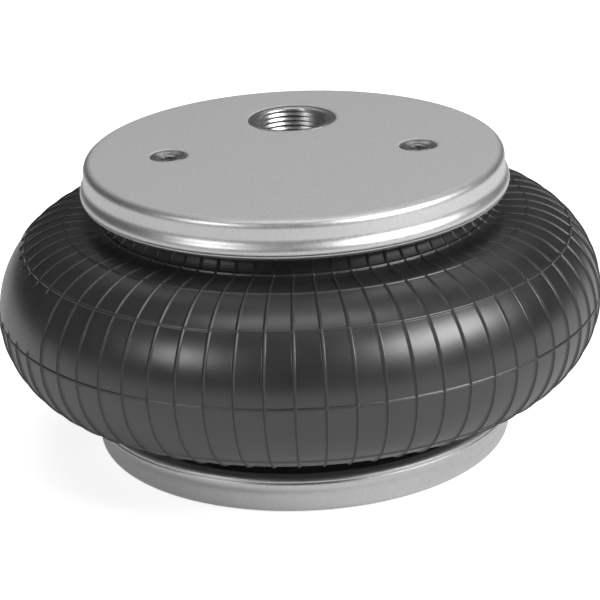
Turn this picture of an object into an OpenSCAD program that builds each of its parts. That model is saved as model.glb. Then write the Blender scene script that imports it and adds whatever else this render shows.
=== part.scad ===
// Single-convolution air bellows actuator at its resting height: a rubber bellows
// on steel bead hoops, crimped into two pressed plates with blind nuts and one air port.
// The origin is the centre of the lower face. Z runs along the stroke, X through the
// mounting nuts, and the air port lies towards +Y.

/* [Overall] */
// Height over both plates at rest
rest_height = 107; // [98:1:116]

/* [Bead plates] */
// Outer diameter of the rim's upright wall
wall_d = 150.4; // [146:0.2:154]
// Thickness of the pressed sheet
sheet_t = 2.5; // [2:0.1:2.8]
// Outer radius of the edge between face and wall
corner_r = 3; // [2.8:0.1:4]
// Radius left inside that edge
corner_inner_r = 0.5; // [0.3:0.1:1]
// Radius left inside the rolled lip
lip_inner_r = 0.8; // [0.6:0.05:1.3]
// How far the lip stands out past the wall
lip_reach = 1.6; // [1.2:0.1:2.2]
// Depth of the lip's widest line below the face
lip_drop = 10.8; // [10.4:0.1:11.6]
// Hollow radius between the wall and the lip
root_r = 4; // [3:0.1:5]
// Angle at which the rolled lip ends, from its widest line round under the rim
lip_wrap = 120; // [105:1:130]

/* [Beads] */
// Diameter of the steel wire hoop
hoop_wire_d = 3.4; // [3:0.1:3.8]
// Radius of the rubber bead round the hoop
bead_r = 5.3; // [5:0.1:5.4]
// Room left between the crimped rubber and the rim
seat_gap = 0.35; // [0.3:0.01:0.5]
// Room left between the hoop and the first turn of ply
wire_gap = 0.3; // [0.3:0.01:0.4]
// Room left between the lip's end and the rubber
lip_gap = 0.7; // [0.5:0.05:1]
// Height over which the rubber thins from the lip to the neck
throat_taper = 3.3; // [2.5:0.1:4]

/* [Bellows] */
// How far the convolution stands out past the plates' walls at rest
belly_reach = 33.3; // [31:0.1:36]
// Depth of the convolution's top below each plate's face
crown_drop = 22; // [21:0.1:25]
// Hollow radius between the neck and the convolution
shoulder_r = 8; // [7:0.1:9]
// Thickness of the outer rubber cover
cover_t = 2; // [1.8:0.1:2.2]
// Thickness of each of the two cord plies
ply_t = 0.9; // [0.8:0.05:0.95]
// Thickness of the airtight liner
liner_t = 1.5; // [1.4:0.1:1.6]

/* [Moulded ribs] */
// Radius of the bead that forms each ring rib
ring_rib_r = 0.9; // [0.7:0.05:1.1]
// How far the ring ribs stand out of the cover
ring_rib_h = 0.45; // [0.3:0.05:0.6]
// Angle up the convolution of the belt's ring rib
belt_angle = 48; // [40:1:55]
// Angle up the convolution of the crown's ring rib
crown_angle = 79; // [74:1:84]
// Place of the neck's ring rib round the shoulder hollow
neck_angle = 236; // [225:1:250]
// Number of upright ribs round the bellows
upright_count = 67; // [60:1:72]
// Direction of the first upright rib, counted from +X towards +Y
upright_start = 268.4; // [264:0.1:273]
// Width of an upright rib at the belly
upright_w = 1.2; // [1:0.05:1.5]
// How far the upright ribs stand out of the cover
upright_h = 0.6; // [0.5:0.05:0.7]
// Direction of the middle of the bare panel, counted from +X towards +Y
panel_at = 190; // [180:1:200]
// Angle that the bare panel takes up
panel_span = 44; // [30:1:60]

/* [Blind nuts] */
// Room left between a nut and the bead
nut_room = 8.75; // [6:0.05:14]
// Core diameter of the nut's thread
nut_core_d = 6.8; // [5:0.1:8]
// Width of the hexagon across its corners
nut_corners = 17; // [15:0.5:19]
// Length of the nut below the sheet
nut_length = 16; // [14:0.5:18]
// Depth of the threaded core
nut_core_depth = 12.5; // [10:0.5:13]
// Diameter of the sunk mouth at the face
nut_mouth_d = 13.6; // [12:0.1:15]
// Diameter of the sunk mouth where it meets the nut
nut_throat_d = 9.4; // [8.5:0.1:10]

/* [Air port] */
// Room left between the port's socket and the bead
port_room = 4.75; // [3:0.05:8]
// Core diameter of the port's thread
port_core_d = 24.12; // [20:0.02:26]
// Outer diameter of the socket
port_socket_d = 38; // [36:0.5:40]
// Length of the socket below the sheet
port_length = 18; // [14:0.5:20]
// Diameter of the sunk mouth at the face
port_mouth_d = 32.6; // [30:0.1:34]
// Diameter of the sunk mouth where it meets the socket
port_throat_d = 27.6; // [27:0.1:29]

/* [Hidden] */

$fn = 96;
cut = 1;                                          // overlap of cutting bodies
drill_tip = 118;                                  // angle of a drilled hole's end

mid_height = rest_height / 2;
lip_roll_r = sheet_t + lip_inner_r;
lip_c = wall_d / 2 + lip_reach - lip_roll_r;      // centre of the rolled lip
root_c = wall_d / 2 + root_r;                     // centre of the hollow above the lip
root_drop = lip_drop - sqrt(pow(root_r + lip_roll_r, 2) - pow(root_c - lip_c, 2));

hoop_r = wall_d / 2 - sheet_t - seat_gap - bead_r; // the bead fills the rim
hoop_drop = sheet_t + seat_gap + bead_r;
hoop_z = mid_height - hoop_drop;                  // above the bellows' middle
throat_step = lip_drop + lip_roll_r * sin(lip_wrap);
throat_r = lip_c + lip_roll_r * cos(lip_wrap) - lip_gap;
throat_drop = throat_step + throat_taper;

bead_inside = hoop_r - bead_r;
nut_spacing = 2 * (bead_inside - nut_room - nut_corners / 2);
port_offset = bead_inside - port_room - port_socket_d / 2;

convolution_r = mid_height - crown_drop;
convolution_c = wall_d / 2 + belly_reach - convolution_r;
neck_r = hoop_r;                                  // the neck's outside hangs under the hoop
shoulder_c = neck_r + shoulder_r;
shoulder_z = convolution_r + shoulder_r;
core_r = convolution_c / 2;                       // well inside the air chamber

upright_pitch = 360 / upright_count;
upright_angle = 2 * asin(upright_w / 2 / (convolution_c + convolution_r));
upright_sink = cover_t / 4;                       // how deep a rib is rooted in the cover

wrap_in = hoop_wire_d / 2 + wire_gap;             // first turn of ply round the hoop
second_turn = wrap_in + ply_t;
wrap_out = wrap_in + 2 * ply_t;
rubber = "#2b2b2d";
cord = "#6f6a5c";
plated = "#a9abad";
steel = "#8d9093";

// Filled outline of the crimped rim, its face at y = 0, drawn inset from the outside
module rim_outline(inset) {
    edge_r = max(corner_r - inset, corner_inner_r);
    wall_r = wall_d / 2 - inset;
    union() {
        translate([0, -lip_drop]) square([wall_r - edge_r, lip_drop - inset]);
        translate([wall_r - edge_r, -lip_drop]) square([edge_r, lip_drop - inset - edge_r]);
        translate([wall_r - edge_r, -inset - edge_r])
            intersection() {
                circle(edge_r);
                square(edge_r);
            }
        translate([lip_c, -lip_drop]) circle(lip_roll_r - inset);
        difference() {
            polygon([[lip_c - lip_roll_r, -lip_drop], [lip_c, -lip_drop],
                     [root_c, -root_drop], [lip_c - lip_roll_r, -root_drop]]);
            translate([root_c, -root_drop]) circle(root_r + inset);
        }
    }
}

// Section of the pressed sheet: face, wall and the lip rolled under the bead
module rim_sheet() {
    reach = 2 * lip_roll_r;
    difference() {
        rim_outline(0);
        rim_outline(sheet_t);
        translate([lip_c, -lip_drop])
            polygon([[0, 0], [reach * cos(lip_wrap), -reach * sin(lip_wrap)], [-reach, 0]]);
    }
}

// A bead plate with its face at z = 0 and its rim hanging down
module bead_plate(ported) {
    difference() {
        rotate_extrude() rim_sheet();
        for (side = [-1, 1])
            translate([side * nut_spacing / 2, 0, 0]) sunk_mouth(nut_mouth_d, nut_throat_d);
        if (ported)
            translate([0, port_offset, 0]) sunk_mouth(port_mouth_d, port_throat_d);
    }
}

// Cone that sinks a hole's mouth through the sheet
module sunk_mouth(mouth_d, throat_d) {
    slope = (mouth_d - throat_d) / sheet_t;
    translate([0, 0, -sheet_t - cut])
        cylinder(d1 = throat_d - cut * slope, d2 = mouth_d + cut * slope, h = sheet_t + 2 * cut);
}

// Closed nut welded under the sheet, its open end at z = -sheet_t
module blind_nut() {
    lead = (nut_throat_d - nut_core_d) / 2;
    tip = nut_core_d / 2 / tan(drill_tip / 2);
    translate([0, 0, -sheet_t])
        difference() {
            translate([0, 0, -nut_length]) cylinder(d = nut_corners, h = nut_length, $fn = 6);
            translate([0, 0, -nut_core_depth]) cylinder(d = nut_core_d, h = nut_core_depth + cut);
            translate([0, 0, -nut_core_depth - tip])
                cylinder(d1 = 0, d2 = nut_core_d, h = tip);
            translate([0, 0, -lead])
                cylinder(d1 = nut_core_d, d2 = nut_throat_d + 2 * cut, h = lead + cut);
        }
}

// Open socket for the air fitting, welded under the sheet
module port_socket() {
    lead = (port_throat_d - port_core_d) / 2;
    translate([0, 0, -sheet_t])
        difference() {
            translate([0, 0, -port_length]) cylinder(d = port_socket_d, h = port_length);
            translate([0, 0, -port_length - cut])
                cylinder(d = port_core_d, h = port_length + 2 * cut);
            translate([0, 0, -lead])
                cylinder(d1 = port_core_d, d2 = port_throat_d + 2 * cut, h = lead + cut);
        }
}

// Filled outline of the bellows about its middle height, taken depth below the outer face
module carcass(depth) {
    profile_r = convolution_r - depth;
    union() {
        translate([convolution_c, 0])
            intersection() {
                circle(profile_r);
                translate([0, -profile_r]) square([profile_r, 2 * profile_r]);
            }
        translate([core_r, -profile_r]) square([convolution_c - core_r, 2 * profile_r]);
        translate([core_r, -hoop_z]) square([neck_r - depth - core_r, 2 * hoop_z]);
        difference() {
            translate([core_r, -shoulder_z]) square([shoulder_c - core_r, 2 * shoulder_z]);
            for (half = [-1, 1])
                translate([shoulder_c, half * shoulder_z]) circle(shoulder_r + depth);
        }
    }
}

// One layer of the bellows' wall, between two depths below the outer face
module wall_layer(from, to) {
    difference() {
        carcass(from);
        carcass(to);
    }
}

// Both ends of the profile at once, for shapes drawn about the upper hoop
module at_both_hoops() {
    for (half = [0, 1])
        mirror([0, half]) translate([hoop_r, hoop_z]) children();
}

// Ply turned up round the hoop, open where it comes up the neck
module turn_up(from, to) {
    difference() {
        circle(to);
        circle(from);
        translate([-2 * to, -2 * to]) square(2 * to);
    }
}

// Crimped rubber outside the hoop, filling the rim down to the neck
module crimped_rubber() {
    face = hoop_drop;
    inner = -cover_t / 2;
    union() {
        intersection() {
            translate([-hoop_r, face]) rim_outline(sheet_t + seat_gap);
            translate([0, face - lip_drop - lip_roll_r])
                square([wall_d / 2, lip_drop + lip_roll_r]);
        }
        polygon([[inner, face - throat_drop], [throat_r - hoop_r, face - throat_step],
                 [bead_r, face - lip_drop], [bead_r, 0], [inner, 0]]);
    }
}

// Section of the outer cover with its ring ribs
module cover_section() {
    ring_c = convolution_r + ring_rib_h - ring_rib_r;
    neck_ring_c = shoulder_r - ring_rib_h + ring_rib_r;
    difference() {
        union() {
            wall_layer(0, cover_t);
            for (angle = [-crown_angle, -belt_angle, 0, belt_angle, crown_angle])
                translate([convolution_c + ring_c * cos(angle), ring_c * sin(angle)])
                    circle(ring_rib_r);
            for (half = [-1, 1])
                translate([shoulder_c + neck_ring_c * cos(neck_angle),
                           half * (shoulder_z + neck_ring_c * sin(neck_angle))])
                    circle(ring_rib_r);
            at_both_hoops()
                difference() {
                    crimped_rubber();
                    circle(wrap_out);
                }
        }
        at_both_hoops() circle(wrap_in);
    }
}

// Section of an upright rib over the convolution, between two angles up its arc
module upright_section(from, to) {
    past = 2 * convolution_r;
    translate([convolution_c, 0])
        intersection() {
            difference() {
                circle(convolution_r + upright_h);
                circle(convolution_r - upright_sink);
            }
            polygon([[0, 0], for (angle = [from, (from + to) / 2, to])
                                 past * [cos(angle), sin(angle)]]);
        }
}

// An upright rib; at the bare panel it leaves out the stretch from the belly to the belt's rib
module upright(number) {
    middle = upright_start + number * upright_pitch;
    off_panel = (middle - panel_at + 540) % 360 - 180; // from -180 to 180
    rotate(middle - upright_angle / 2)
        rotate_extrude(angle = upright_angle)
            if (abs(off_panel) < panel_span / 2) {
                upright_section(-crown_angle, 0);
                upright_section(belt_angle, crown_angle);
            } else {
                upright_section(-crown_angle, crown_angle);
            }
}

// Half a turn of the cover, counted from a direction
module half_turn(start) {
    rotate(start) rotate_extrude(angle = 180) cover_section();
}

// The cover's two halves meet midway between two upright ribs
module bellows_cover() {
    seam = upright_start - upright_pitch / 2;
    color(rubber)
        translate([0, 0, mid_height]) {
            half_turn(seam);
            half_turn(seam + 180);
            for (number = [0 : upright_count - 1]) upright(number);
        }
}

module bellows_ply(depth, from) {
    color(cord)
        translate([0, 0, mid_height])
            rotate_extrude()
                union() {
                    wall_layer(depth, depth + ply_t);
                    at_both_hoops() turn_up(from, from + ply_t);
                }
}

module bellows_liner() {
    depth = cover_t + 2 * ply_t;
    color(rubber)
        translate([0, 0, mid_height])
            rotate_extrude()
                union() {
                    wall_layer(depth, depth + liner_t);
                    at_both_hoops()
                        intersection() {
                            difference() {
                                circle(bead_r);
                                circle(wrap_out);
                            }
                            translate([-bead_r, 0]) square(bead_r);
                        }
                }
}

module bead_hoop() {
    color(steel)
        rotate_extrude()
            translate([hoop_r, -hoop_drop]) circle(d = hoop_wire_d);
}

module upper_bead_plate() {
    color(plated) on_top() bead_plate(true);
}

module lower_bead_plate() {
    color(plated) at_foot() bead_plate(false);
}

module on_top() {
    translate([0, 0, rest_height]) children();
}

module at_foot() {
    mirror([0, 0, 1]) children();
}

module nut_at(side) {
    color(steel) translate([side * nut_spacing / 2, 0, 0]) blind_nut();
}

module air_port_socket() {
    color(steel) on_top() translate([0, port_offset, 0]) port_socket();
}

upper_bead_plate();
lower_bead_plate();
air_port_socket();
on_top() nut_at(-1);  // upper_blind_nut_left
on_top() nut_at(1);  // upper_blind_nut_right
at_foot() nut_at(-1);  // lower_blind_nut_left
at_foot() nut_at(1);  // lower_blind_nut_right
on_top() bead_hoop();  // upper_bead_hoop
at_foot() bead_hoop();  // lower_bead_hoop
bellows_cover();
bellows_ply(cover_t, wrap_in);  // bellows_outer_ply
bellows_ply(cover_t + ply_t, second_turn);  // bellows_inner_ply
bellows_liner();
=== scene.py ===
import bmesh
import bpy
import math
from mathutils import Matrix, Vector


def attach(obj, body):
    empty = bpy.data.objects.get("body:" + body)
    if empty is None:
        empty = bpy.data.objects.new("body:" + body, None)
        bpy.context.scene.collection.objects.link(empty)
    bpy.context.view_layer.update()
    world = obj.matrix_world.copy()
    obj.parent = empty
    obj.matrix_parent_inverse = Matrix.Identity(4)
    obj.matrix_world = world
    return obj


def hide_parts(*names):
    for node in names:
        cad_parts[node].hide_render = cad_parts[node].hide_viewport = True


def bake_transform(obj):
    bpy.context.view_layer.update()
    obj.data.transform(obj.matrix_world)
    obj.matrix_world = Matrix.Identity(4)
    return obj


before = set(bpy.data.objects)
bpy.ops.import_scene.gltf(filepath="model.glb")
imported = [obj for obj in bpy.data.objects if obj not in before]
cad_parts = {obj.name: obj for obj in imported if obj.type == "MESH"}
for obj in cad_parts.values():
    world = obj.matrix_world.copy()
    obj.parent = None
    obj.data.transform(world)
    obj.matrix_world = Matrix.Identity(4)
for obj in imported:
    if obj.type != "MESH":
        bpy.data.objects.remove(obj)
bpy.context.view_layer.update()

mm = 0.001
turn = 2 * math.pi
middle = 53.5    # height of the bellows' middle plane, and half the height at rest, mm
faceZ = 107.0    # height of the upper plate's face, mm
fine = 1e-7      # distance that counts as none, m
loose = 1e-6     # the same where spun parts meet, m
scene = bpy.context.scene
print("frame loaded:", len(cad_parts), "nodes")


view = {"focal": 159.79, "sensor": 36, "near": 0.05, "far": 20, "distance": 968.4,
        "rise": 21.161, "roll": 2.495, "shift": (0.00107, -0.0166), "target": (0, 0, 53.5)}


def addCamera():
    data = bpy.data.cameras.new("camera")
    data.sensor_width = view["sensor"]
    data.lens = view["focal"]
    data.shift_x, data.shift_y = view["shift"]
    data.clip_start, data.clip_end = view["near"], view["far"]
    rise = math.radians(view["rise"])
    away = Vector((0, -math.cos(rise), math.sin(rise))) * view["distance"]
    place = (Vector(view["target"]) + away) * mm
    camera = bpy.data.objects.new("camera", data)
    camera.matrix_world = (Matrix.Translation(place)
                           @ Matrix.Rotation(math.pi / 2 - rise, 4, "X")
                           @ Matrix.Rotation(-math.radians(view["roll"]), 4, "Z"))
    scene.collection.objects.link(camera)
    scene.camera = camera


addCamera()


def newMaterial(name, **values):
    # a principled material with its plain values set on the shader's own sockets
    material = bpy.data.materials.new(name)
    material.use_nodes = True
    shader = material.node_tree.nodes["Principled BSDF"]
    for socket, value in values.items():
        shader.inputs[socket.replace("_", " ")].default_value = value
    return material, material.node_tree, shader


def addNode(tree, kind, inputs=None, **settings):
    node = tree.nodes.new(kind)
    for key, value in settings.items():
        setattr(node, key, value)
    for socket, value in (inputs or {}).items():
        if isinstance(value, bpy.types.NodeSocket):
            tree.links.new(value, node.inputs[socket])
        else:
            node.inputs[socket].default_value = value
    return node


def feed(tree, shader, **outputs):
    for socket, output in outputs.items():
        tree.links.new(output, shader.inputs[socket.replace("_", " ")])


def calculate(tree, operation, *values):
    node = addNode(tree, "ShaderNodeMath", dict(enumerate(values)), operation=operation)
    return node.outputs["Value"]


noiseRough = 0.55
noiseSpan = (0.35, 0.65)    # most values of a noise lie in it
whole = (0, 1)


def mapped(tree, tall=1):
    # object coordinates, with the pattern drawn out upwards where tall is under 1
    place = addNode(tree, "ShaderNodeTexCoord")
    return addNode(tree, "ShaderNodeMapping", {"Vector": place.outputs["Object"],
                                               "Scale": (1, 1, tall)}).outputs["Vector"]


def noise(tree, scale, detail, tall=1):
    return addNode(tree, "ShaderNodeTexNoise",
                   {"Vector": mapped(tree, tall), "Scale": scale, "Detail": detail,
                    "Roughness": noiseRough}).outputs["Fac"]


def ramp(tree, factor, low, high, span=noiseSpan):
    # from low to high while the factor crosses its span
    return addNode(tree, "ShaderNodeMapRange",
                   {"Value": factor, "From Min": span[0], "From Max": span[1],
                    "To Min": low, "To Max": high}).outputs["Result"]


def mixTone(tree, factor, first, second):
    return addNode(tree, "ShaderNodeMix", {"Factor": factor, "A": first, "B": second},
                   data_type="RGBA").outputs["Result"]


def tone(tree, factor, dark, light, span=noiseSpan):
    return mixTone(tree, ramp(tree, factor, 0, 1, span), (*dark, 1), (*light, 1))


def addBump(tree, shader, height, strength, depth):
    bump = addNode(tree, "ShaderNodeBump", {"Height": height, "Strength": strength,
                                            "Distance": depth * mm})
    feed(tree, shader, Normal=bump.outputs["Normal"])


def fromAxis(tree):
    # distance from the bellows' axis, in metres
    place = addNode(tree, "ShaderNodeTexCoord")
    flat = addNode(tree, "ShaderNodeVectorMath",
                   {0: place.outputs["Object"], 1: (1, 1, 0)}, operation="MULTIPLY")
    return addNode(tree, "ShaderNodeVectorMath", {0: flat.outputs["Vector"]},
                   operation="LENGTH").outputs["Value"]


# noise is (scale, detail), a bump is (strength, depth in mm), a tone is (dark, light)
plating = {"grain": (1400, 4), "streak": (1300, 4), "streakTall": 0.45,
           "rimStarts": (0.0715, 0.0745), "metal": (0.15, 1.0), "rough": (0.62, 0.42),
           "spread": 0.03, "face": ((0.34, 0.34, 0.344), (0.41, 0.41, 0.414)),
           "rolled": ((0.6, 0.6, 0.605), (0.66, 0.66, 0.665)), "bump": (0.5, 0.04)}


def makeZinc():
    # zinc plating: a matte grained face, and a rim that is brighter and finely streaked
    look = plating
    material, tree, shader = newMaterial("satinZinc")
    grain = noise(tree, *look["grain"])
    streak = noise(tree, *look["streak"], look["streakTall"])
    onRim = ramp(tree, fromAxis(tree), 0, 1, look["rimStarts"])
    rough = ramp(tree, onRim, *look["rough"], whole)
    spread = ramp(tree, streak, -look["spread"], look["spread"])
    feed(tree, shader, Metallic=ramp(tree, onRim, *look["metal"], whole),
         Roughness=calculate(tree, "ADD", rough, spread),
         Base_Color=mixTone(tree, onRim, tone(tree, grain, *look["face"]),
                            tone(tree, streak, *look["rolled"])))
    addBump(tree, shader, grain, *look["bump"])
    return material


steel = {"grain": (1100, 3), "tone": ((0.42, 0.42, 0.43), (0.54, 0.54, 0.55)),
         "rough": (0.28, 0.38), "bump": (0.2, 0.01)}
hoopWire = {"grain": (700, 3), "tone": ((0.4, 0.3, 0.2), (0.5, 0.38, 0.27)),
            "rough": (0.25, 0.4)}


def makeGrainedMetal(name, look):
    material, tree, shader = newMaterial(name, Metallic=1.0)
    grain = noise(tree, *look["grain"])
    feed(tree, shader, Base_Color=tone(tree, grain, *look["tone"]),
         Roughness=ramp(tree, grain, *look["rough"]))
    if "bump" in look:
        addBump(tree, shader, grain, *look["bump"])
    return material


rubber = {"grain": (1000, 5), "bloom": (38, 4), "tall": 0.5, "gloss": 0.8,
          "tone": ((0.012, 0.012, 0.013), (0.018, 0.018, 0.02)), "rough": (0.31, 0.38),
          "ribPaintedShade": (0.004, 0.004, 0.004), "ribRough": 0.35, "bump": (0.5, 0.04)}


def makeCoverRubber():
    # satin moulded rubber with fine grain and a faint bloom, duller on its upright ribs,
    # which are also painted darker as painted shade
    look = rubber
    material, tree, shader = newMaterial("satinRubber", Specular_IOR_Level=look["gloss"])
    grain = noise(tree, *look["grain"], look["tall"])
    bloom = noise(tree, *look["bloom"], look["tall"])
    onRib = addNode(tree, "ShaderNodeAttribute", attribute_name="rib").outputs["Fac"]
    # the rib share makes the upright ribs rougher and paints them near black, a painted
    # shade along the ribs
    rough = calculate(tree, "MULTIPLY_ADD", onRib, look["ribRough"],
                      ramp(tree, bloom, *look["rough"]))
    feed(tree, shader, Roughness=rough,
         Base_Color=mixTone(tree, onRib, tone(tree, bloom, *look["tone"]),
                            (*look["ribPaintedShade"], 1)))
    addBump(tree, shader, grain, *look["bump"])
    return material


talcked = {"talc": (60, 4), "tone": ((0.03, 0.03, 0.031), (0.055, 0.055, 0.056)),
           "rough": 0.7, "grain": (900, 2), "bump": (0.3, 0.03)}


def makeLinerRubber():
    material, tree, shader = newMaterial("linerRubber", Roughness=talcked["rough"])
    talc = noise(tree, *talcked["talc"])
    feed(tree, shader, Base_Color=tone(tree, talc, *talcked["tone"]))
    addBump(tree, shader, noise(tree, *talcked["grain"]), *talcked["bump"])
    return material


cords = {"scale": 420.0, "waver": 0.6, "tone": ((0.12, 0.11, 0.09), (0.3, 0.28, 0.23)),
         "span": (0.2, 0.8), "rough": 0.75, "bump": (0.6, 0.1)}


def makeCordPly():
    # rubbered cords laid round the bellows
    material, tree, shader = newMaterial("cordPly", Roughness=cords["rough"])
    laid = addNode(tree, "ShaderNodeTexWave",
                   {"Vector": mapped(tree), "Scale": cords["scale"],
                    "Distortion": cords["waver"]},
                   wave_type="BANDS", bands_direction="Z").outputs["Fac"]
    feed(tree, shader, Base_Color=tone(tree, laid, *cords["tone"], cords["span"]))
    addBump(tree, shader, laid, *cords["bump"])
    return material


zinc = makeZinc()
turned = makeGrainedMetal("turnedSteel", steel)
wire = makeGrainedMetal("copperedWire", hoopWire)
coverRubber = makeCoverRubber()
linerRubber = makeLinerRubber()
cordPly = makeCordPly()
print("materials made:", len(bpy.data.materials))


def finishPiece(name, bm, material, smooth=True):
    # one object at the origin, in metres
    bmesh.ops.remove_doubles(bm, verts=bm.verts, dist=fine)
    bmesh.ops.recalc_face_normals(bm, faces=bm.faces)
    mesh = bpy.data.meshes.new(name)
    bm.to_mesh(mesh)
    bm.free()
    mesh.polygons.foreach_set("use_smooth", [smooth] * len(mesh.polygons))
    mesh.materials.append(material)
    piece = bpy.data.objects.new(name, mesh)
    scene.collection.objects.link(piece)
    return piece


def arc(centre, radius, start, end, count):
    # points of an arc in a section, from one angle to the other, ends included
    step = (end - start) / (count - 1)
    angles = [math.radians(start + step * i) for i in range(count)]
    return [(centre[0] + radius * math.cos(a), centre[1] + radius * math.sin(a))
            for a in angles]


def chain(bm, points, closed):
    # a section's points in mm, drawn as edges in the XZ plane
    verts = [bm.verts.new((r * mm, 0, z * mm)) for r, z in points]
    pairs = list(zip(verts, verts[1:]))
    if closed:
        pairs.append((verts[-1], verts[0]))
    return verts, [bm.edges.new(pair) for pair in pairs]


def spinOn(bm, parts, steps, angle=turn, at=(0, 0), rise=0, merge=False, repeat=False):
    # spins parts about an upright axis, climbing by rise mm over the angle
    bmesh.ops.spin(bm, geom=parts, cent=(at[0] * mm, at[1] * mm, 0), axis=(0, 0, 1),
                   dvec=(0, 0, rise * mm / steps), angle=angle, steps=steps,
                   use_merge=merge, use_duplicate=repeat)


def allParts(bm):
    return list(bm.verts) + list(bm.edges) + list(bm.faces)


# sizes in mm; cone and tuck are (radius, depth under the plate's face)
bellows = {"crownC": 77.0, "crownR": 31.5, "hollowC": 75.05, "hollowR": 8.0,
           "coverThick": 2.0, "hoopR": 67.05, "hoopZ": 45.35, "wrapIn": 2.0, "wrapOut": 3.8,
           "coneTop": (71.15, 13.66), "coneFoot": (66.05, 16.96),
           "coneRows": (0.3, 0.65, 1), "neckWithin": 69, "neckTries": 200,
           "tuck": ((73.05, 10.8), (72.35, 10.3), (72.35, 3.35), (71.85, 2.85)),
           "tuckDeep": 2.85,
           "still": 45.0, "rowStep": 2.4, "rowClear": 1.3,
           "wrapOutPoints": 7, "wrapInPoints": 4, "hollowPoints": 5, "crownPoints": 12}
ribs = {"count": 67, "first": 268.4, "high": 0.6, "half": 0.62,
        "across": (-0.85, -0.62, -0.42, -0.22, 0, 0.22, 0.42, 0.62, 0.85), "between": 2}
rings = {"angles": (0, 48, 79), "neck": 236, "beadR": 0.65, "proud": 0.4,
         "along": (-0.85, -0.62, -0.5, -0.3, 0, 0.3, 0.5, 0.62, 0.85)}
barePatch = {"from": 168.0, "to": 212.0, "low": 3.0, "high": 44.5}
perRib = len(ribs["across"]) + ribs["between"]    # columns from one rib to the next
crown = (bellows["crownC"], 0)
hollow = (bellows["hollowC"], bellows["crownR"] + bellows["hollowR"])
hoop = (bellows["hoopR"], bellows["hoopZ"])


def ringHeight(distance):
    # how far a ring rib stands out at a distance from its middle
    gap = rings["beadR"] ** 2 - distance ** 2
    return max(0.0, math.sqrt(gap) - (rings["beadR"] - rings["proud"])) if gap > 0 else 0.0


def rowAngles(radius, low, high, marks):
    # angles along an arc, closer together at its ring ribs
    close = {m + math.degrees(s / radius) for m in marks for s in rings["along"]}
    count = round((high - low) / bellows["rowStep"])
    clear = math.degrees(bellows["rowClear"] / radius)
    plain = {low + (high - low) * i / count for i in range(count + 1)}
    plain = {a for a in plain if all(abs(a - m) > clear for m in marks)}
    return sorted(a for a in close | plain | {low, high} if low <= a <= high)


def neckPoint():
    # the top of the crimped rubber's cone, and where the cone meets the shoulder's hollow
    top, foot = (Vector((bellows[end][0], middle - bellows[end][1]))
                 for end in ("coneTop", "coneFoot"))
    tries = bellows["neckTries"]
    for i in range(tries):
        point = top.lerp(foot, i / tries)
        outside = (point - Vector(hollow)).length >= bellows["hollowR"]
        if outside and point.x < bellows["neckWithin"]:
            break
    return top, point


def arcRows(centre, radius, angles, marks, outwards):
    # rows along an arc: place, outward normal, height of a ring rib there
    rows = []
    for degree in angles:
        a = math.radians(degree)
        away = min(abs(a - math.radians(m)) for m in marks) * radius
        rows.append((centre[0] + radius * math.cos(a), centre[1] + radius * math.sin(a),
                     outwards * math.cos(a), outwards * math.sin(a), ringHeight(away)))
    return rows


def coverRows():
    # outer face of the upper half, from the belly up to the lip
    radius = bellows["crownR"]
    rows = arcRows(crown, radius, rowAngles(radius, 0, 90, rings["angles"]),
                   rings["angles"], 1)
    top, neck = neckPoint()
    radius = bellows["hollowR"]
    last = math.degrees(math.atan2(neck.y - hollow[1], neck.x - hollow[0])) % 360
    angles = sorted(rowAngles(radius, last, 270, (rings["neck"],)), reverse=True)
    rows += arcRows(hollow, radius, angles, (rings["neck"],), -1)
    slope = (top - neck).normalized()
    rows += [(p.x, p.y, slope.y, -slope.x, 0.0)
             for p in (neck.lerp(top, share) for share in bellows["coneRows"])]
    return rows


def coverSection(rows):
    # closed section of the cover's upper half; the rows come first, counting up
    size = bellows
    tuck = [(r, middle - deep) for r, deep in size["tuck"]]
    tuck.append((hoop[0], middle - size["tuckDeep"]))
    inner = arc(hoop, size["wrapOut"], 90, -90, size["wrapOutPoints"])
    inner += arc(hoop, size["wrapIn"], -90, -180, size["wrapInPoints"])
    thick = size["coverThick"]
    inner += arc(hollow, size["hollowR"] + thick, 180, 270, size["hollowPoints"])
    inner += arc(crown, size["crownR"] - thick, 90, 0, size["crownPoints"])
    return [row[:2] for row in rows] + tuck + inner


def ribHeight(across):
    share = min(1.0, abs(across) / ribs["half"])
    return ribs["high"] * (0.5 + 0.5 * math.cos(math.pi * share))


def inPatch(angle, row, upper):
    # whether a row lies in the smooth patch of the upper half
    if not upper:
        return False
    rise = math.degrees(math.atan2(row[1], row[0] - crown[0]))
    return (barePatch["from"] < angle < barePatch["to"]
            and barePatch["low"] < rise < barePatch["high"])


def placeColumn(column):
    # its rib's direction, how far across the rib it lies, or its share of the gap beside
    rib, place = divmod(column + len(ribs["across"]) // 2, perRib)
    centre = math.radians(ribs["first"] + rib * 360 / ribs["count"])
    if place < len(ribs["across"]):
        return centre, ribs["across"][place], 0.0
    return centre, None, (place - len(ribs["across"]) + 1) / (ribs["between"] + 1)


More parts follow.
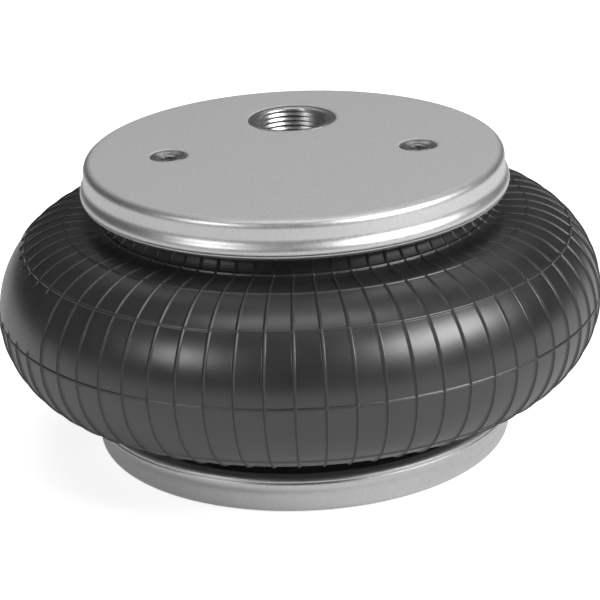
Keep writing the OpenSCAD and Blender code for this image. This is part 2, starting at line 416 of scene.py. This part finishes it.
def makeCoverHalf(name, upper):
    # one rib's pitch is spun and repeated, then its columns are drawn together and raised
    rows = coverRows()
    columns = ribs["count"] * perRib
    pitch = turn / ribs["count"]
    bm = bmesh.new()
    rowOf = bm.verts.layers.float.new("row")
    ribOf = bm.verts.layers.float.new("rib")
    verts, edges = chain(bm, coverSection(rows), True)
    for i, vert in enumerate(verts):
        vert[rowOf] = i + 1
    spinOn(bm, verts + edges, perRib, angle=pitch)
    spinOn(bm, allParts(bm), ribs["count"], repeat=True)
    bmesh.ops.remove_doubles(bm, verts=bm.verts, dist=2 * loose)
    places = [placeColumn(column) for column in range(columns)]
    for vert in bm.verts:
        r, z = math.hypot(vert.co.x, vert.co.y), vert.co.z
        column = round(math.atan2(vert.co.y, vert.co.x) / turn * columns) % columns
        centre, across, share = places[column]
        if across is not None:
            angle = centre + across * mm / r
        else:
            foot = ribs["across"][-1] * mm / r
            angle = centre + foot + (pitch - 2 * foot) * share
        number = round(vert[rowOf]) - 1
        if number < len(rows):
            row = rows[number]
            lift = row[4]
            if across is not None and not inPatch(math.degrees(centre) % 360, row, upper):
                upright = ribHeight(across)
                # the upright rib's share, read by the rubber for its roughness and for its
                # painted shade on the ribs
                vert[ribOf] = upright / ribs["high"] if upright > lift else 0.0
                lift = max(lift, upright)
            r += row[2] * lift * mm
            z += row[3] * lift * mm
        z = middle * mm + (z if upper else -z)
        vert.co = (r * math.cos(angle), r * math.sin(angle), z)
    return finishPiece(name, bm, coverRubber)


# node: name, depth under the cover's face, thickness, angle it ends at round the hoop
layers = {"bellows_outer_ply": ("OuterPly", 2.0, 0.9, -90, cordPly, "cord_ply"),
          "bellows_inner_ply": ("InnerPly", 2.9, 0.9, -90, cordPly, "cord_ply"),
          "bellows_liner": ("Liner", 3.8, 1.5, 90, linerRubber, "liner_rubber")}
layerMesh = {"crownPoints": 14, "hollowPoints": 8, "hoopStep": 22, "steps": 120}


def wallPath(depth, hoopEnd):
    # middle line of a layer of the wall, from the belly up and round the hoop
    points = layerMesh
    path = arc(crown, bellows["crownR"] - depth, 0, 90, points["crownPoints"])
    path += arc(hollow, bellows["hollowR"] + depth, 270, 180, points["hollowPoints"])
    count = 2 + round((180 - hoopEnd) / points["hoopStep"])
    return path + arc(hoop, depth, 180, hoopEnd, count)


def makeLayerHalf(name, upper, depth, thick, hoopEnd, material):
    # a thin layer of the wall: its middle line thickened, then spun
    path = [Vector(p) for p in wallPath(depth + thick / 2, hoopEnd)]
    sides = []
    for i in range(len(path)):
        along = (path[min(i + 1, len(path) - 1)] - path[max(i - 1, 0)]).normalized()
        if i == 0:
            along = Vector((0, 1))    # level where it meets the other half
        sides.append(Vector((along.y, -along.x)) * thick / 2)
    loop = [p + s for p, s in zip(path, sides)]
    loop += [p - s for p, s in reversed(list(zip(path, sides)))]
    bm = bmesh.new()
    verts, edges = chain(bm, [(p.x, p.y) for p in loop], True)
    spinOn(bm, verts + edges, layerMesh["steps"], merge=True)
    for vert in bm.verts:
        vert.co.z = middle * mm + (vert.co.z if upper else -vert.co.z)
    return finishPiece(name, bm, material)


def bendHalf(piece, upper):
    # bakes a half's placement into its mesh; the halves are not bent, and both are treated
    # alike
    if upper:
        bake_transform(piece)
    else:
        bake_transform(piece)


for upper, half in ((False, "lower"), (True, "upper")):
    cover = makeCoverHalf(half + "Cover", upper)
    bendHalf(cover, upper)
    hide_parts("bellows_cover")
    for node, (label, depth, thick, hoopEnd, material, slotName) in layers.items():
        layer = makeLayerHalf(half + label, upper, depth, thick, hoopEnd, material)
        bendHalf(layer, upper)
        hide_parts(node)
    print(half, "half of the bellows made:", len(cover.data.polygons), "faces on the cover")


sheet = 2.5     # thickness of the pressed plates
flush = 0.06    # how far a collar's face lies under the plate's
edge = 0.25     # break of a turned edge
hair = 0.001    # smallest step between two loops
port = {"at": (0.0, 38.0), "coreR": 12.06, "majorR": 13.22, "pitch": 1.814, "lead": 1.1,
        "mouthR": 14.3, "collarR": 16.0, "outerR": 19.0, "length": 18.0, "steps": 96}
nut = {"across": 44.5, "coreR": 3.4, "majorR": 4.0, "pitch": 1.25, "lead": 0.8,
       "mouthR": 5.4, "collarR": 6.5, "cornerR": 8.5, "length": 16.0, "depth": 12.5,
       "tip": 2.04, "steps": 48}
thread = {"form": ((0.0, "coreR"), (0.16, "coreR"), (0.46, "majorR"), (0.62, "majorR")),
          "spareTurns": 2, "turnsBelow": 1.5}    # the form is in shares of the pitch


def onLevel(bmEdge, level, gap):
    return all(abs(v.co.z - level * mm) < gap for v in bmEdge.verts)


def openLoop(bm, level):
    return [e for e in bm.edges if e.is_boundary and onLevel(e, level, loose)]


def threadWall(bm, size, low, high):
    # an inner screw face from low to high, cut level at both ends
    pitch = size["pitch"]
    start = low - thread["turnsBelow"] * pitch
    count = math.ceil((high - low) / pitch) + thread["spareTurns"]
    points = [(size[radius], start + (number + share) * pitch)
              for number in range(count) for share, radius in thread["form"]]
    verts, edges = chain(bm, points, False)
    spinOn(bm, verts + edges, size["steps"], rise=pitch)
    bmesh.ops.remove_doubles(bm, verts=bm.verts, dist=loose)
    for level, up in ((high, 1), (low, -1)):
        bmesh.ops.bisect_plane(bm, geom=allParts(bm), dist=fine,
                               plane_co=(0, 0, level * mm), plane_no=(0, 0, up),
                               clear_outer=True)
    return openLoop(bm, high), openLoop(bm, low)


def growRings(bm, loop, steps):
    # extrudes an open loop through (radius, level) steps, each point keeping its angle;
    # a radius may be a function of the angle
    for radius, level in steps:
        new = bmesh.ops.extrude_edge_only(bm, edges=loop)["geom"]
        for vert in (g for g in new if isinstance(g, bmesh.types.BMVert)):
            angle = math.atan2(vert.co.y, vert.co.x)
            r = (radius(angle) if callable(radius) else radius) * mm
            vert.co = (r * math.cos(angle), r * math.sin(angle), level * mm)
        loop = [g for g in new
                if isinstance(g, bmesh.types.BMEdge) and onLevel(g, level, fine)]
    return loop


def collarSteps(size):
    # the countersunk mouth and the collar through the sheet
    outer = size["collarR"]
    return [(size["mouthR"], -flush), (outer - edge, -flush - hair), (outer, -flush - edge),
            (outer, -sheet)]


def hexRadius(angle):
    side = turn / 6
    return nut["cornerR"] * math.cos(side / 2) / math.cos(angle % side - side / 2)


def settle(piece, at, upper):
    # from a piece drawn with the plate's face at zero to its place in a plate
    place = Matrix.Translation((at[0] * mm, at[1] * mm, (faceZ if upper else 0) * mm))
    if not upper:
        place = place @ Matrix.Rotation(math.pi, 4, "X")
    piece.data.transform(place)


def makePort():
    bm = bmesh.new()
    outer, foot = port["outerR"], -sheet - port["length"]
    upperLoop, lowerLoop = threadWall(bm, port, foot, -port["lead"])
    steps = [(outer - edge, -sheet - hair), (outer, -sheet - edge), (outer, foot + edge),
             (outer - edge, foot + hair)]
    loop = growRings(bm, upperLoop, collarSteps(port) + steps)
    bmesh.ops.bridge_loops(bm, edges=loop + lowerLoop)
    piece = finishPiece("airPort", bm, turned)
    settle(piece, port["at"], True)
    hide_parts("air_port_socket")
    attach(piece, "upper_plate")


def makeNut(name, side, upper):
    # a closed hexagon nut whose blind hole ends in a drill's cone
    bm = bmesh.new()
    end = -sheet - nut["depth"]
    upperLoop, lowerLoop = threadWall(bm, nut, end, -nut["lead"])
    steps = [(hexRadius, -sheet - hair), (hexRadius, -sheet - nut["length"])]
    loop = growRings(bm, upperLoop, collarSteps(nut) + steps)
    bmesh.ops.contextual_create(bm, geom=loop)
    growRings(bm, lowerLoop, [(nut["coreR"], end - hair), (0, end - nut["tip"])])
    piece = finishPiece(name, bm, turned, smooth=False)
    settle(piece, (side * nut["across"], 0), upper)
    return piece


makePort()
for plate, upper in (("upper", True), ("lower", False)):
    for label, side in (("Left", -1), ("Right", 1)):
        piece = makeNut(f"{plate}Nut{label}", side, upper)
        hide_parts(f"{plate}_blind_nut_{label.lower()}")
        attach(piece, plate + "_plate")
print("port and nuts threaded")


rim = {"faceR": 69.0, "flatR": 71.2, "wallR": 75.2, "cornerR": 3.0, "insideR": 0.5,
       "rootR": 4.0, "lipC": 73.5, "lipR": 3.3, "lipDrop": 10.8, "wrap": -120,
       "crease": -25, "creaseHalf": 5, "creaseFloor": 1, "creaseDeep": 0.22, "steps": 268}
rimPoints = {"corner": 9, "root": 6, "lipAbove": 7, "creaseFloor": 2, "lipBelow": 9,
             "innerLip": 8, "innerRoot": 5, "innerCorner": 4}
holes = {"nutR": 6.8, "nutSteps": 64, "portR": 16.3, "portSteps": 128, "soft": 0.3,
         "apron": 1.4}


def rimSection():
    # outer side from the face down to the lip's end, then the inner side back up
    size, count = rim, rimPoints
    radius, lipR, rootR = size["cornerR"], size["lipR"], size["rootR"]
    corner = (size["wallR"] - radius, -radius)
    lip = (size["lipC"], -size["lipDrop"])
    rootC = size["wallR"] + rootR
    fall = math.sqrt((rootR + lipR) ** 2 - (rootC - lip[0]) ** 2)
    root = (rootC, fall - size["lipDrop"])
    lean = math.degrees(math.atan2(fall, rootC - lip[0]))
    crease, half, floor = size["crease"], size["creaseHalf"], size["creaseFloor"]
    outer = [(size["faceR"], 0), (size["flatR"], 0)]
    outer += arc(corner, radius, 90, 0, count["corner"])
    outer += arc(root, rootR, 180, 180 + lean, count["root"])
    outer += arc(lip, lipR, lean, crease + half, count["lipAbove"])[1:]
    outer += arc(lip, lipR - size["creaseDeep"], crease + floor, crease - floor,
                 count["creaseFloor"])
    outer += arc(lip, lipR, crease - half, size["wrap"], count["lipBelow"])
    inner = arc(lip, lipR - sheet, size["wrap"], lean, count["innerLip"])
    inner += arc(root, rootR + sheet, 180 + lean, 180, count["innerRoot"])[1:]
    inside = size["insideR"]
    inner += arc((size["wallR"] - sheet - inside, -sheet - inside), inside, 0, 90,
                 count["innerCorner"])
    return outer + inner + [(size["flatR"], -sheet), (size["faceR"], -sheet)]


def addHole(bm, at, radius, steps):
    # a hole through the sheet with broken edges, and a narrow apron of the faces round it
    soft, apron = radius + holes["soft"], radius + holes["apron"]
    points = [(apron, 0), (soft, 0), (radius, -holes["soft"]),
              (radius, holes["soft"] - sheet), (soft, -sheet), (apron, -sheet)]
    verts, edges = chain(bm, points, False)
    bmesh.ops.translate(bm, verts=verts, vec=(at[0] * mm, at[1] * mm, 0))
    spinOn(bm, verts + edges, steps, at=at, merge=True)


def makePlate(name, upper):
    bm = bmesh.new()
    verts, edges = chain(bm, rimSection(), False)
    spinOn(bm, verts + edges, rim["steps"], merge=True)
    for side in (-1, 1):
        addHole(bm, (side * nut["across"], 0), holes["nutR"], holes["nutSteps"])
    if upper:
        addHole(bm, port["at"], holes["portR"], holes["portSteps"])
    for level in (0.0, -sheet):
        bmesh.ops.triangle_fill(bm, use_beauty=True, use_dissolve=False,
                                edges=openLoop(bm, level))
    piece = finishPiece(name + "Plate", bm, zinc)
    settle(piece, (0, 0), upper)
    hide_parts(name + "_bead_plate")
    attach(piece, name + "_plate")


makePlate("upper", True)
makePlate("lower", False)
print("plates pressed")

for node in ("upper_bead_hoop", "lower_bead_hoop"):
    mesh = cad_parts[node].data
    mesh.materials.clear()
    mesh.materials.append(wire)


# metres, and each light has its place, its size and its watts
studio = {"floorHalf": 4.0, "floorZ": -0.0002, "floorTone": 0.8, "floorRough": 0.9,
          "floorMirrored": 0.1, "floorGlow": 0.68, "worldGlow": 0.35,
          "domeR": 2.2, "domeParts": 4, "domeGlow": 0.095, "aim": (0, 0, 0.05),
          "lights": {"leftBox": ((-1.1, -0.97, 0.96), (0.5, 0.45), 6.2),
                     "rightBox": ((1.18, -0.68, 1.05), (1.15, 0.55), 26),
                     "overBox": ((0.0, -0.12, 1.6), (1.3, 0.32), 4.8),
                     "rearBox": ((0.1, 0.9, 1.3), (1.4, 0.7), 2.5)}}
white, black = (1, 1, 1, 1), (0, 0, 0, 1)


def addLight(name, place, size, power):
    data = bpy.data.lights.new(name, "AREA")
    data.shape = "RECTANGLE"
    data.size, data.size_y = size
    data.energy = power
    light = bpy.data.objects.new(name, data)
    light.location = place
    look = (Vector(studio["aim"]) - Vector(place)).to_track_quat("-Z", "Y")
    light.rotation_euler = look.to_euler()
    light.visible_camera = False
    scene.collection.objects.link(light)


def stageMesh(name, bm, material):
    mesh = bpy.data.meshes.new(name)
    bm.to_mesh(mesh)
    bm.free()
    mesh.materials.append(material)
    backdrop = bpy.data.objects.new(name, mesh)
    scene.collection.objects.link(backdrop)
    return backdrop


def addFloor():
    # a white floor to the camera, a grey one in reflections, and open seen from below
    pale = studio["floorTone"]
    material, tree, shader = newMaterial("paleFloor", Roughness=studio["floorRough"],
                                         Base_Color=(pale, pale, pale, 1),
                                         Emission_Color=white)
    path = addNode(tree, "ShaderNodeLightPath").outputs
    mirrored = calculate(tree, "MULTIPLY", path["Is Glossy Ray"], studio["floorMirrored"])
    seen = calculate(tree, "MAXIMUM", path["Is Camera Ray"], mirrored)
    feed(tree, shader,
         Emission_Strength=calculate(tree, "MULTIPLY", seen, studio["floorGlow"]))
    under = addNode(tree, "ShaderNodeNewGeometry").outputs["Backfacing"]
    clear = addNode(tree, "ShaderNodeBsdfTransparent").outputs["BSDF"]
    sides = addNode(tree, "ShaderNodeMixShader", {0: under, 1: shader.outputs["BSDF"],
                                                  2: clear})
    feed(tree, tree.nodes["Material Output"], Surface=sides.outputs[0])
    bm = bmesh.new()
    bmesh.ops.create_grid(bm, x_segments=1, y_segments=1, size=studio["floorHalf"])
    stageMesh("floor", bm, material).location.z = studio["floorZ"]


def addDome():
    # grey studio walls, met by reflections only
    wall = newMaterial("studioWall", Roughness=1.0, Specular_IOR_Level=0.0,
                       Base_Color=black, Emission_Color=white,
                       Emission_Strength=studio["domeGlow"])[0]
    bm = bmesh.new()
    bmesh.ops.create_icosphere(bm, subdivisions=studio["domeParts"],
                               radius=studio["domeR"])
    dome = stageMesh("studioDome", bm, wall)
    dome.visible_camera = dome.visible_diffuse = dome.visible_shadow = False
    dome.visible_transmission = False


def addWorld():
    # white where it is seen straight, mirrored or through glass, and dimmer as a light
    world = bpy.data.worlds.new("paleWorld")
    world.use_nodes = True
    tree = world.node_tree
    path = addNode(tree, "ShaderNodeLightPath").outputs
    first = calculate(tree, "MAXIMUM", path["Is Camera Ray"], path["Is Glossy Ray"])
    seen = calculate(tree, "MAXIMUM", first, path["Is Transmission Ray"])
    shader = tree.nodes["Background"]
    shader.inputs["Color"].default_value = white
    feed(tree, shader, Strength=ramp(tree, seen, studio["worldGlow"], 1, whole))
    scene.world = world


addWorld()
addFloor()
addDome()
for name, (place, size, power) in studio["lights"].items():
    addLight(name, place, size, power)
scene.view_settings.view_transform = "Standard"
print("studio lit")
